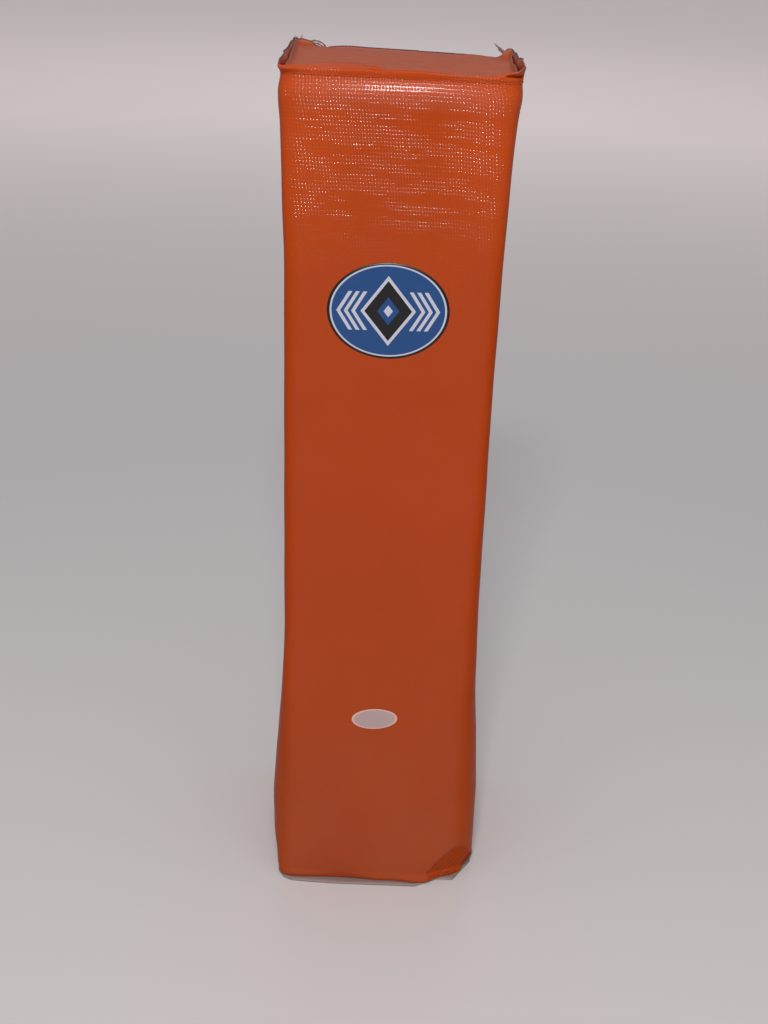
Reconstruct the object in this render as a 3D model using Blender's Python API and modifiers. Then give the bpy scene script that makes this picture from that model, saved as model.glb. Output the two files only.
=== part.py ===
"""Football end zone pylon: a soft foam block in a sewn vinyl cover, weighted at the foot.

Metres, +Z up. The floor is at Z 0, the origin is under the middle of the pylon, and the
front face, which carries the large oval decal, looks towards -Y.
"""

import math

import bpy
import bmesh

# Overall sizes
PANEL_HEIGHT = 0.452
MARGIN_HEIGHT = 0.005
END_WIDTH = 0.114
WAIST_DRAW = 0.00425
FOOT_DRAW = 0.003
FOOT_CROWN = 0.006
WAIST_DROP = 0.205
FOOT_BULGE_LOW = 0.032
FOOT_BULGE_HIGH = 0.150
FOOT_RISE = 0.025
CORNER_RADIUS = 0.006
FACE_CROWN = 0.001
CLEARANCE = 0.0003

# Cover
SHEET = 0.0007
FOOT_TUCK = 0.004
CRUSH_HEIGHT = 0.032
CRUSH_RADIUS = 0.026
LAP_WIDTH = 0.014
LAP_RAMP = 0.006
LAP_EDGE = 0.001
CORNER_FLARE = 0.0012
BACK_LEFT_EAR = 0.0036
BACK_RIGHT_EAR = 0.0058
EAR_REACH = 0.009

# Top panel
PANEL_BEND = 0.0012
PANEL_CROWN = 0.001

# Base sheet
BASE_SHEET = 0.001
BASE_LIP = 0.006
BASE_LEFT_DRAW = 0.003
BASE_RIGHT_LIP = 0.0025
BASE_CORNER = 0.007
BASE_CRUSH_CORNER = 0.028

# Ballast
POUCH_HEIGHT = 0.082
POUCH_SHEET = 0.0006
POUCH_CORNER = 0.010

# Foam
FOAM_EDGE = 0.002
FOAM_WALL = 0.0147

# Decals
DECAL_SHEET = 0.0003
OVAL_WIDTH = 0.060
OVAL_HEIGHT = 0.048
OVAL_LEFT = 0.0017
OVAL_DROP = 0.1085
STICKER_WIDTH = 0.0257
STICKER_HEIGHT = 0.013
STICKER_LEFT = 0.0006
STICKER_Z = 0.1095

# Thread
THREAD_RADIUS = 0.00025
THREAD_END = 0.004

# Counts and shares
SIDES = ("back", "left", "front", "right")
SIDE_STEPS = 4
ARC_STEPS = 3
TUCK_TURNS_SHARES = (0.9, 0.6, 0.3, 0.0)
BODY_RING_SHARES = (0.09, 0.17, 0.25, 0.34, 0.44, 0.55, 0.65, 0.71, 0.77, 0.83, 0.89, 0.95, 1.0)
WAIST_POWER = 2.5
FLARE_POWER = 4
SWELL_SHARES = {"back": 0.65, "left": 1.0, "front": 0.65, "right": 1.0}
DECAL_RING_SHARES = (0.34, 0.67, 1.0)
DECAL_STEPS = 28
THREAD_HEIGHT_SHARE = 0.55
TRAY_EDGE_SHARE = 0.9
HALF_END = END_WIDTH / 2
FOOT_Z = BASE_SHEET + CLEARANCE
LAP_STEP = SHEET + CLEARANCE
POCKET_WIDTH = END_WIDTH - 2.0 * FOAM_WALL
POUCH_WIDTH = POCKET_WIDTH - 2.0 * CLEARANCE
OVAL_Z = PANEL_HEIGHT - OVAL_DROP


def blend(low, high, value):
    """Smooth rise from 0 at low to 1 at high."""
    share = min(max((value - low) / (high - low), 0.0), 1.0)
    return share * share * (3.0 - 2.0 * share)


def half_width(z):
    """Half the width of the pylon across its corners at this height, drawn in at the waist."""
    above = max(z - (PANEL_HEIGHT - WAIST_DROP), 0.0) / WAIST_DROP
    top = WAIST_DRAW * above**WAIST_POWER
    foot = (WAIST_DRAW - FOOT_DRAW) * foot_share(z)
    return HALF_END - WAIST_DRAW + top + foot


def foot_share(z):
    """1 at the foot, where the ballast fills the cover, and 0 from the waist up."""
    return 1.0 - blend(FOOT_BULGE_LOW, FOOT_BULGE_HIGH, z)


def crown(z, side):
    """How far the middle of a side stands out past its corners: a little all the way up, more at the foot."""
    share = z / PANEL_HEIGHT
    rise = 1.0 - max(1.0 - z / FOOT_RISE, 0.0) ** 2
    swell = FOOT_CROWN * SWELL_SHARES[side] * foot_share(z) * rise
    return FACE_CROWN * max(4.0 * share * (1.0 - share), 0.0) + swell


def corner_radius(z):
    """Radius of the crushed front right corner, which opens out towards the floor."""
    return CORNER_RADIUS + (CRUSH_RADIUS - CORNER_RADIUS) * max(1.0 - z / CRUSH_HEIGHT, 0.0)


def side_point(index, along, half, radius_low, radius_high, bulge):
    """Point of side index at -1 to 1 along it, between two corner radii. The sides run back, left, front, right."""
    low = -half + radius_low
    high = half - radius_high
    run = low + (high - low) * (along + 1.0) / 2.0
    out = half + bulge * (1.0 - along * along)
    return turned(index, run, out)


def turned(index, run, out):
    """Turns a point given as run along a side and out from the axis to side index, anticlockwise from the back."""
    if index == 0:
        return (-run, out)
    if index == 1:
        return (-out, -run)
    if index == 2:
        return (run, -out)
    return (out, run)


def section(z, inset, tuck):
    """Closed outline of the pylon at height z, drawn in by inset and tuck: back side first, anticlockwise from above."""
    half = half_width(z) - inset - tuck
    plain = CORNER_RADIUS - inset
    crushed = corner_radius(z) - inset
    radii = (plain, plain, plain, crushed, plain)
    points = []
    for index in range(4):
        low = radii[index]
        high = radii[index + 1]
        for step in range(SIDE_STEPS + 1):
            along = -1.0 + 2.0 * step / SIDE_STEPS
            points.append(side_point(index, along, half, low, high, crown(z, SIDES[index])))
        for step in range(1, ARC_STEPS):
            turn = math.pi / 2 * step / ARC_STEPS
            run = half - high + high * math.sin(turn)
            out = half - high + high * math.cos(turn)
            points.append(turned(index, run, out))
    return points


def tuck_levels(foot):
    """Heights and draws of the rounded foot edge, from the floor side up, above the height foot."""
    levels = []
    for share in TUCK_TURNS_SHARES:
        turn = math.pi / 2 * share
        z = foot + FOOT_TUCK * (1.0 - math.sin(turn))
        levels.append((z, FOOT_TUCK * (1.0 - math.cos(turn))))
    return levels


def body_heights():
    """Heights of the rings above the rounded foot edge, up to the top panel."""
    low = FOOT_Z + FOOT_TUCK
    crushed = (CRUSH_HEIGHT / 2, CRUSH_HEIGHT)
    span = PANEL_HEIGHT - CRUSH_HEIGHT
    upper = [CRUSH_HEIGHT + span * share for share in BODY_RING_SHARES]
    return [z for z in crushed if z > low] + upper


def ear(x, y):
    """Extra height of the cover's cut edge at a back corner."""
    height = 0.0
    for side, tall in ((-1.0, BACK_LEFT_EAR), (1.0, BACK_RIGHT_EAR)):
        away = math.hypot(x - side * HALF_END, y - HALF_END) / EAR_REACH
        height += tall * math.exp(-away * away)
    return height


def flared(x, y, share):
    """Leans a point of the seam margin outwards near the corners, by share of the full flare."""
    corner = abs(x) * abs(y) / HALF_END**2
    push = CORNER_FLARE * share * corner**FLARE_POWER / HALF_END
    return (x * (1.0 + push), y * (1.0 + push))


def lapped(z, outset, tuck, flare):
    """Open outline of the cover wall: it starts under the lap at the back, runs round and ends on top of it."""
    loop = section(z, -outset, tuck)
    half_lap = LAP_WIDTH / 2
    out = half_width(z) - tuck + crown(z, "back") + outset
    inner = [p for p in loop[:SIDE_STEPS + 1] if p[0] < -half_lap]
    outer = [p for p in loop[:SIDE_STEPS + 1] if p[0] > half_lap + LAP_RAMP]
    path = [(half_lap, out), (-half_lap, out)] + inner + loop[SIDE_STEPS + 1:] + outer
    path.append((half_lap + LAP_RAMP, out))
    path.append((half_lap + LAP_EDGE, out + LAP_STEP))
    path.append((-half_lap, out + LAP_STEP))
    return [flared(x, y, flare) for x, y in path]


def material(name, colour, roughness, metallic=0.0):
    """Principled material of one colour."""
    made = bpy.data.materials.new(name)
    made.use_nodes = True
    shader = made.node_tree.nodes["Principled BSDF"]
    shader.inputs["Base Color"].default_value = (*colour, 1.0)
    shader.inputs["Roughness"].default_value = roughness
    shader.inputs["Metallic"].default_value = metallic
    made.diffuse_color = (*colour, 1.0)
    return made


def add_object(name, mesh_or_curve, surface, place):
    """Links a new object to the collection place, with its material."""
    made = bpy.data.objects.new(name, mesh_or_curve)
    made.data.materials.append(surface)
    place.objects.link(made)
    return made


def loft(name, rings, closed, low_cap, high_cap):
    """Mesh through rings of points, each ring a list of (x, y, z). A cap is None, 'face' or a centre point."""
    shape = bmesh.new()
    rows = [[shape.verts.new(point) for point in ring] for ring in rings]
    count = len(rings[0])
    spans = count if closed else count - 1
    for low, high in zip(rows, rows[1:]):
        for index in range(spans):
            after = (index + 1) % count
            shape.faces.new((low[index], low[after], high[after], high[index]))
    for cap, row, flip in ((low_cap, rows[0], True), (high_cap, rows[-1], False)):
        if cap is None:
            continue
        if cap == "face":
            shape.faces.new(row[::-1] if flip else row)
            continue
        centre = shape.verts.new(cap)
        for index in range(count):
            after = (index + 1) % count
            pair = (row[after], row[index]) if flip else (row[index], row[after])
            shape.faces.new((*pair, centre))
    mesh = bpy.data.meshes.new(name)
    shape.to_mesh(mesh)
    shape.free()
    return mesh


def solidify(target, thickness, offset):
    """Gives an open surface its thickness: offset -1 puts it behind the faces, 1 in front of them."""
    shell = target.modifiers.new("sheet", "SOLIDIFY")
    shell.thickness = thickness
    shell.offset = offset
    shell.use_even_offset = True
    return shell


def rounded_box(name, width, height, corner):
    """Box standing on Z 0 with its upright edges rounded."""
    mesh = bpy.data.meshes.new(name)
    shape = bmesh.new()
    bmesh.ops.create_cube(shape, size=1.0)
    bmesh.ops.scale(shape, vec=(width, width, height), verts=shape.verts)
    bmesh.ops.translate(shape, vec=(0.0, 0.0, height / 2), verts=shape.verts)
    upright = [edge for edge in shape.edges if abs(edge.verts[0].co.z - edge.verts[1].co.z) > height / 2]
    bmesh.ops.bevel(shape, geom=upright, offset=corner, offset_type="OFFSET", segments=ARC_STEPS,
                    profile=0.5, affect="EDGES")
    shape.to_mesh(mesh)
    shape.free()
    return mesh


def thread(name, points, closed, surface, place):
    """Round sewing thread through these points."""
    curve = bpy.data.curves.new(name, "CURVE")
    curve.dimensions = "3D"
    curve.bevel_depth = THREAD_RADIUS
    curve.bevel_resolution = 1
    curve.use_fill_caps = not closed
    spline = curve.splines.new("POLY")
    spline.points.add(len(points) - 1)
    for point, place_at in zip(spline.points, points):
        point.co = (*place_at, 1.0)
    spline.use_cyclic_u = closed
    return add_object(name, curve, surface, place)


def make_cover_wall(surface, place):
    """One vinyl sheet wrapped round all four sides, its ends lapped and sewn up the middle of the back."""
    rings = []
    for z, tuck in tuck_levels(FOOT_Z):
        rings.append([(x, y, z) for x, y in lapped(z, 0.0, tuck, 0.0)])
    for z in body_heights():
        rings.append([(x, y, z) for x, y in lapped(z, 0.0, 0.0, 0.0)])
    edge = PANEL_HEIGHT + MARGIN_HEIGHT
    rings.append([(x, y, edge + ear(x, y)) for x, y in lapped(edge, 0.0, 0.0, 1.0)])
    wall = add_object("cover_wall", loft("cover_wall", rings, False, None, None), surface, place)
    solidify(wall, SHEET, -1.0)


def tray_ring(z, inset, flare, lift):
    """Ring of the top panel at this inset from the cover's outer face."""
    ring = []
    for x, y in section(PANEL_HEIGHT, SHEET + CLEARANCE + inset, 0.0):
        x, y = flared(x, y, flare)
        ring.append((x, y, z + lift * ear(x, y)))
    return ring


def make_top_panel(surface, place):
    """Square vinyl panel on top, its margin turned up all round and sewn to the top of the wall."""
    edge = PANEL_HEIGHT + MARGIN_HEIGHT * TRAY_EDGE_SHARE
    bend = PANEL_BEND
    corner = bend * (1.0 - math.sqrt(0.5))
    rim = tray_ring(PANEL_HEIGHT, bend, 0.0, 0.0)
    rings = [
        tray_ring(edge, 0.0, TRAY_EDGE_SHARE, TRAY_EDGE_SHARE),
        tray_ring(PANEL_HEIGHT + bend, 0.0, 0.0, 0.0),
        tray_ring(PANEL_HEIGHT + corner, corner, 0.0, 0.0),
        rim,
    ]
    for share in (2.0 / 3.0, 1.0 / 3.0):
        rise = PANEL_CROWN * (1.0 - share * share)
        rings.append([(x * share, y * share, z + rise) for x, y, z in rim])
    centre = (0.0, 0.0, PANEL_HEIGHT + PANEL_CROWN)
    mesh = loft("top_panel", rings[::-1], True, centre, None)
    solidify(add_object("top_panel", mesh, surface, place), SHEET, -1.0)


def make_base_sheet(surface, place):
    """Flat sheet under the foot, cut with clipped corners, that shows as a narrow lip in front."""
    curve = bpy.data.curves.new("base_sheet", "CURVE")
    curve.dimensions = "2D"
    curve.fill_mode = "BOTH"
    curve.extrude = BASE_SHEET / 2
    front = HALF_END + BASE_LIP
    left = HALF_END - BASE_LEFT_DRAW
    right = HALF_END + BASE_RIGHT_LIP
    corners = (
        (-left, -front, BASE_CORNER),
        (right, -front, BASE_CRUSH_CORNER),
        (right, front, BASE_CORNER),
        (-left, front, BASE_CORNER),
    )
    outline = []
    for index, (x, y, radius) in enumerate(corners):
        centre_x = x - math.copysign(radius, x)
        centre_y = y - math.copysign(radius, y)
        for step in range(ARC_STEPS + 1):
            turn = math.pi + math.pi / 2 * (index + step / ARC_STEPS)
            outline.append((centre_x + radius * math.cos(turn), centre_y + radius * math.sin(turn)))
    spline = curve.splines.new("POLY")
    spline.points.add(len(outline) - 1)
    for point, (x, y) in zip(spline.points, outline):
        point.co = (x, y, 0.0, 1.0)
    spline.use_cyclic_u = True
    sheet = add_object("base_sheet", curve, surface, place)
    sheet.location.z = BASE_SHEET / 2


def pouch_foot():
    """Height of the ballast pouch's underside."""
    return BASE_SHEET + CLEARANCE


def pouch_top():
    """Height of the top of the panel that closes the pouch."""
    return pouch_foot() + POUCH_HEIGHT + CLEARANCE + POUCH_SHEET


def make_foam_core(surface, place, cutters):
    """Soft foam block that fills the cover, with a pocket for the ballast cut up into its foot."""
    inset = SHEET + CLEARANCE
    foot = FOOT_Z + SHEET + CLEARANCE
    rings = []
    for z, tuck in tuck_levels(foot):
        rings.append([(x, y, z) for x, y in section(z, inset, tuck)])
    for z in body_heights()[:-1]:
        rings.append([(x, y, z) for x, y in section(z, inset, 0.0)])
    top = PANEL_HEIGHT - CLEARANCE
    rings.append([(x, y, top - FOAM_EDGE) for x, y in section(top - FOAM_EDGE, inset, 0.0)])
    rim = [(x, y, top) for x, y in section(top, inset + FOAM_EDGE, 0.0)]
    rings.append(rim)
    middle_share = 0.5
    rise = PANEL_CROWN * (1.0 - middle_share**2)
    rings.append([(x * middle_share, y * middle_share, z + rise) for x, y, z in rim])
    mesh = loft("foam_core", rings, True, "face", (0.0, 0.0, top + PANEL_CROWN))
    foam = add_object("foam_core", mesh, surface, place)
    height = pouch_top() + CLEARANCE
    pocket = rounded_box("pocket_cutter", POCKET_WIDTH, height, POUCH_CORNER + CLEARANCE)
    cutter = add_object("pocket_cutter", pocket, surface, cutters)
    cutter.hide_render = True
    cutter.display_type = "WIRE"
    cut = foam.modifiers.new("pocket", "BOOLEAN")
    cut.operation = "DIFFERENCE"
    cut.solver = "EXACT"
    cut.object = cutter


def make_ballast(pouch_surface, sand_surface, place):
    """Sewn pouch of sand in the foam's pocket: an open cup, the panel sewn over its mouth, and the sand."""
    mesh = rounded_box("ballast_pouch", POUCH_WIDTH, POUCH_HEIGHT, POUCH_CORNER)
    shape = bmesh.new()
    shape.from_mesh(mesh)
    lid = [face for face in shape.faces if face.normal.z > 0.9]
    bmesh.ops.delete(shape, geom=lid, context="FACES_ONLY")
    shape.to_mesh(mesh)
    shape.free()
    pouch = add_object("ballast_pouch", mesh, pouch_surface, place)
    pouch.location.z = pouch_foot()
    solidify(pouch, POUCH_SHEET, -1.0)
    panel_mesh = rounded_box("ballast_pouch_top", POUCH_WIDTH, POUCH_SHEET, POUCH_CORNER)
    panel = add_object("ballast_pouch_top", panel_mesh, pouch_surface, place)
    panel.location.z = pouch_foot() + POUCH_HEIGHT + CLEARANCE
    inner = POUCH_SHEET + CLEARANCE
    sand_mesh = rounded_box("ballast_sand", POUCH_WIDTH - 2.0 * inner, POUCH_HEIGHT - inner,
                            POUCH_CORNER - inner)
    sand = add_object("ballast_sand", sand_mesh, sand_surface, place)
    sand.location.z = pouch_foot() + inner


def face_at(x, z):
    """How far out the cover's front face lies at x and z, on the flat spans between its rings."""
    heights = body_heights()
    for low, high in zip(heights, heights[1:]):
        if z <= high:
            break
    share = (z - low) / (high - low)
    out = 0.0
    for level, weight in ((low, 1.0 - share), (high, share)):
        along = x / (half_width(level) - CORNER_RADIUS)
        out += weight * (half_width(level) + crown(level, "front") * (1.0 - along * along))
    return out


def make_decal(name, width, height, x_middle, z_middle, surface, place):
    """Thin oval film that follows the front face."""
    def on_face(share, turn):
        x = x_middle + width / 2 * share * math.cos(turn)
        z = z_middle + height / 2 * share * math.sin(turn)
        return (x, -face_at(x, z) - CLEARANCE, z)
    turns = [2.0 * math.pi * step / DECAL_STEPS for step in range(DECAL_STEPS)]
    rings = [[on_face(share, turn) for turn in turns] for share in DECAL_RING_SHARES[::-1]]
    mesh = loft(name, rings, True, None, on_face(0.0, 0.0))
    solidify(add_object(name, mesh, surface, place), DECAL_SHEET, 1.0)


def make_threads(surface, place):
    """Lockstitch thread round the top seam and up the lap at the back."""
    off = CLEARANCE + THREAD_RADIUS
    z = PANEL_HEIGHT + MARGIN_HEIGHT * THREAD_HEIGHT_SHARE
    loop = lapped(z, off, 0.0, THREAD_HEIGHT_SHARE)
    hidden_start = 2
    points = [(x, y, z) for x, y in loop[hidden_start:]]
    thread("top_seam_thread", points, True, surface, place)
    low = FOOT_Z + FOOT_TUCK
    run = [low + THREAD_END] + body_heights()[:-1] + [PANEL_HEIGHT - THREAD_END]
    points = [(0.0, half_width(z) + crown(z, "back") + LAP_STEP + off, z) for z in run]
    thread("back_seam_thread", points, False, surface, place)


def main():
    """Clears the file and builds the pylon."""
    for old in list(bpy.data.objects):
        bpy.data.objects.remove(old)
    place = bpy.data.collections.new("end_zone_pylon")
    cutters = bpy.data.collections.new("cutters")
    bpy.context.scene.collection.children.link(place)
    bpy.context.scene.collection.children.link(cutters)
    vinyl = material("orange_vinyl", (0.42, 0.06, 0.017), 0.38)
    top_vinyl = material("orange_top_vinyl", (0.42, 0.07, 0.03), 0.45)
    grey = material("grey_base_sheet", (0.16, 0.14, 0.135), 0.7)
    foam = material("grey_foam", (0.30, 0.31, 0.33), 0.95)
    cloth = material("pouch_cloth", (0.05, 0.05, 0.055), 0.85)
    sand = material("sand", (0.52, 0.42, 0.28), 0.95)
    blue = material("blue_film", (0.018, 0.080, 0.26), 0.3)
    white = material("white_film", (0.80, 0.80, 0.78), 0.4)
    yarn = material("orange_thread", (0.45, 0.10, 0.04), 0.7)
    make_base_sheet(grey, place)
    make_ballast(cloth, sand, place)
    make_foam_core(foam, place, cutters)
    make_cover_wall(vinyl, place)
    make_top_panel(top_vinyl, place)
    make_threads(yarn, place)
    make_decal("front_decal", OVAL_WIDTH, OVAL_HEIGHT, -OVAL_LEFT, OVAL_Z, blue, place)
    make_decal("small_sticker", STICKER_WIDTH, STICKER_HEIGHT, -STICKER_LEFT, STICKER_Z, white, place)


main()
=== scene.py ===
"""Football end zone pylon, dressed for its photograph.

Metres, +Z up. The floor is at Z 0 and the front face, which carries the oval decal, looks towards -Y.
Angles round the pylon are in degrees: 0 is the right side, 90 the back, 180 the left and 270 the front.
"""

import math

import bpy
import numpy as np
from mathutils import Matrix


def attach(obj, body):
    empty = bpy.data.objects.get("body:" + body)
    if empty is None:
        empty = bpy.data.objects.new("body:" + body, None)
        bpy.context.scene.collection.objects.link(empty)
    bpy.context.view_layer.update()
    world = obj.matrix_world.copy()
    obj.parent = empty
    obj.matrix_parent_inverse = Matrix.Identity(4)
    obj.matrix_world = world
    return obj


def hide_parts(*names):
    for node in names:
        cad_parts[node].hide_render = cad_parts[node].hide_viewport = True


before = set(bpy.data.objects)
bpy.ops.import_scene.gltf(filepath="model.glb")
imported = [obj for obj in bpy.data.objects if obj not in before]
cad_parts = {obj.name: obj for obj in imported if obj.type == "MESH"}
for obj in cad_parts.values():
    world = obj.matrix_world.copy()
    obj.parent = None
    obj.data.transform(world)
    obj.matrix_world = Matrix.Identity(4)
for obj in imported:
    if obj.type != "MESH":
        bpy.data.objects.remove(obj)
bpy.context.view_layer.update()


# Base sheet.
# A flat grey plastic sheet under the foot, cut by hand with clipped corners and glued to the tucked hem.
# It shows as a narrow lip in front and past the crushed corner on the right. There its grey-mauve colour is
# partly painted shadow: it stands in for the contact shadow and floor reflection under the cover's edge.

BASE_THICK = 0.001
BASE_CLEAR = 0.0001
BASE_CURL = 0.00015
BASE_OUTLINE = np.array([
    (-0.0540, 0.0600), (-0.0540, -0.0535), (-0.0505, -0.0590), (-0.0460, -0.0617), (-0.0345, -0.0625),
    (-0.0228, -0.0630), (0.0262, -0.0624), (0.0325, -0.0590), (0.0400, -0.0546), (0.0490, -0.0546),
    (0.0597, -0.0364), (0.0600, -0.0270), (0.0598, 0.0590), (0.0550, 0.0630), (-0.0500, 0.0630),
])


def node(tree, kind, inputs=None, **settings):
    """Adds a node. Each input is a number or colour for its socket, or another node's output to link."""
    made = tree.nodes.new(kind)
    for name, value in settings.items():
        setattr(made, name, value)
    for key, value in (inputs or {}).items():
        if isinstance(value, bpy.types.NodeSocket):
            tree.links.new(value, made.inputs[key])
        else:
            made.inputs[key].default_value = value
    return made


def maths(tree, operation, first, second=0.0, third=0.0):
    """Output of one sum on numbers or sockets."""
    made = node(tree, "ShaderNodeMath", {0: first, 1: second, 2: third}, operation=operation)
    return made.outputs[0]


def product(tree, first, *others):
    """Output of all these numbers or sockets multiplied."""
    for other in others:
        first = maths(tree, "MULTIPLY", first, other)
    return first


def blend_colour(tree, share, low, high):
    """Colour between low and high, each of them red, green and blue or a socket."""
    low, high = ((*colour, 1.0) if isinstance(colour, tuple) else colour for colour in (low, high))
    return node(tree, "ShaderNodeMix", {0: share, 6: low, 7: high}, data_type="RGBA").outputs[2]


def object_place(tree):
    """The piece's own coordinates, in metres."""
    return node(tree, "ShaderNodeTexCoord").outputs["Object"]


def noise(tree, scale, detail=3.0, where=None):
    """Cloudy pattern from 0 to 1, on the piece's own coordinates if no others are given."""
    where = object_place(tree) if where is None else where
    inputs = {"Vector": where, "Scale": scale, "Detail": detail, "Roughness": 0.55}
    return node(tree, "ShaderNodeTexNoise", inputs).outputs["Fac"]


def mottled(tree, scale, low, high):
    """Colour that goes from low to high in patches."""
    return blend_colour(tree, noise(tree, scale), low, high)


def spread(tree, value, low, high, to_low=0.0, to_high=1.0):
    """Takes a value's range low to high onto another range, held at both ends."""
    made = node(tree, "ShaderNodeMapRange", {0: value, 1: low, 2: high, 3: to_low, 4: to_high})
    return made.outputs[0]


def bump(tree, height, strength, distance, over=None):
    """Relief of a pattern, this many metres deep, on top of another relief if one is given."""
    inputs = {"Strength": strength, "Distance": distance, "Height": height}
    if over is not None:
        inputs["Normal"] = over
    return node(tree, "ShaderNodeBump", inputs).outputs[0]


def split(tree, where):
    """X, Y and Z of a place."""
    return node(tree, "ShaderNodeSeparateXYZ", {0: where}).outputs


def new_surface(name):
    """Empty material, its tree and its Principled shader."""
    made = bpy.data.materials.new(name)
    made.use_nodes = True
    return made, made.node_tree, made.node_tree.nodes["Principled BSDF"]


def dress(tree, shader, shade, rough, relief=None):
    """Gives a shader its colour, its roughness as a number or a socket, and its relief if it has one."""
    tree.links.new(shade, shader.inputs["Base Color"])
    if isinstance(rough, bpy.types.NodeSocket):
        tree.links.new(rough, shader.inputs["Roughness"])
    else:
        shader.inputs["Roughness"].default_value = rough
    if relief is not None:
        tree.links.new(relief, shader.inputs["Normal"])


def sheet_place(tree):
    """The flat coordinates that a sheet carries, in metres."""
    return node(tree, "ShaderNodeUVMap", uv_map="cloth").outputs[0]


def placed(name, data):
    """A new object in the scene, with this data."""
    made = bpy.data.objects.new(name, data)
    bpy.context.scene.collection.objects.link(made)
    return made


def mesh_of_grid(name, points, surfaces, around=False, uv=None):
    """Mesh through a grid of points, rows by columns by XYZ.

    Its quads run along a row and then up, and close round from the last column to the first if asked.
    """
    rows, columns = points.shape[:2]
    index = np.arange(rows * columns).reshape(rows, columns)
    if around:
        index = np.concatenate([index, index[:, :1]], axis=1)
    corners = [index[:-1, :-1], index[:-1, 1:], index[1:, 1:], index[1:, :-1]]
    quads = np.stack(corners, axis=-1).reshape(-1, 4)
    mesh = bpy.data.meshes.new(name)
    mesh.from_pydata(points.reshape(-1, 3), [], quads)
    mesh.update()
    mesh.shade_smooth()
    for surface in surfaces:
        mesh.materials.append(surface)
    if uv is not None:
        layer = mesh.uv_layers.new(name="cloth")
        corner = np.empty(len(mesh.loops), np.int32)
        mesh.loops.foreach_get("vertex_index", corner)
        layer.data.foreach_set("uv", uv.reshape(-1, 2)[corner].astype(np.float32).ravel())
    return placed(name, mesh)


def sheet_wall(piece, thick, offset=-1.0, rim=None):
    """Gives an open surface its thickness, with another of its materials on the cut edge if rim is given."""
    wall = piece.modifiers.new("thickness", "SOLIDIFY")
    wall.thickness = thick
    wall.offset = offset
    if rim is not None:
        wall.material_offset_rim = rim


def merged(piece, distance=1e-6):
    """Merges points that lie on each other, as at a pole."""
    weld = piece.modifiers.new("weld", "WELD")
    weld.merge_threshold = distance


def run_along(path):
    """Distance of each point of a path from its first, along the path."""
    return np.concatenate([[0.0], np.cumsum(np.linalg.norm(np.diff(path, axis=0), axis=1))])


def filled_outline(corners, rings, spacing):
    """Grid from the middle of an outline to its edge: each ring is the outline at a smaller scale."""
    loop = np.concatenate([corners, corners[:1]])
    run = run_along(loop)
    count = int(run[-1] / spacing)
    at = np.linspace(0.0, run[-1], count, endpoint=False)
    edge = np.stack([np.interp(at, run, loop[:, 0]), np.interp(at, run, loop[:, 1])], axis=-1)
    share = np.linspace(0.0, 1.0, rings)[:, None, None] ** 0.8
    return edge[None] * share


base_grid = filled_outline(BASE_OUTLINE, rings=24, spacing=0.0012)[:, ::-1]
base_curl = BASE_CURL * (1.0 + np.sin(base_grid[..., 0] * 160.0) * np.cos(base_grid[..., 1] * 130.0 + 1.0))
base_top = BASE_THICK - BASE_CLEAR + base_curl * (np.linalg.norm(base_grid, axis=-1) > 0.052)
base_points = np.concatenate([base_grid, base_top[..., None]], axis=-1)

# Painted shadow: the sheet's grey-mauve is matched to the contact shadow under the cover's front edge and
# crushed corner.
grey_plastic_painted_shadow, tree, shader = new_surface("grey_base_plastic_painted_shadow")
cloudy = noise(tree, 45.0)
shade = blend_colour(tree, cloudy, (0.200, 0.132, 0.124), (0.260, 0.178, 0.170))
grain = bump(tree, noise(tree, 2600.0, 2.0), 0.35, 0.0002)
dress(tree, shader, shade, spread(tree, cloudy, 0.3, 0.7, 0.5, 0.68), grain)

# Painted light: the cut edge is a lighter copy of the sheet's grey, so that its shaded rim reads pale.
lit_base_edge, tree, shader = new_surface("grey_base_cut_edge")
dress(tree, shader, mottled(tree, 700.0, (0.26, 0.185, 0.178), (0.33, 0.245, 0.238)), 0.6)

base_sheet = mesh_of_grid("base_sheet_cut", base_points, [grey_plastic_painted_shadow, lit_base_edge], around=True)
merged(base_sheet)
sheet_wall(base_sheet, BASE_THICK - 2.0 * BASE_CLEAR, rim=1)
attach(base_sheet, "root")
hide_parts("base_sheet")


# Foam block.
# The soft core that gives the pylon its form: square, drawn in at the waist, swelled at the foot.
# It is cut from one block, slides into the cover from below and has a pocket for the ballast in its foot.

SEAM_Z = 0.452
FOOT_Z = 0.0013
CLOTH = 0.0007
GAP = 0.0003
FOAM_INSET = CLOTH + GAP
FOAM_FOOT = 0.0023
FOAM_ROUND = 0.004
FOAM_SHOULDER = 0.4508
POCKET_HALF = 0.0423
POCKET_TOP = 0.0855

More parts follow.
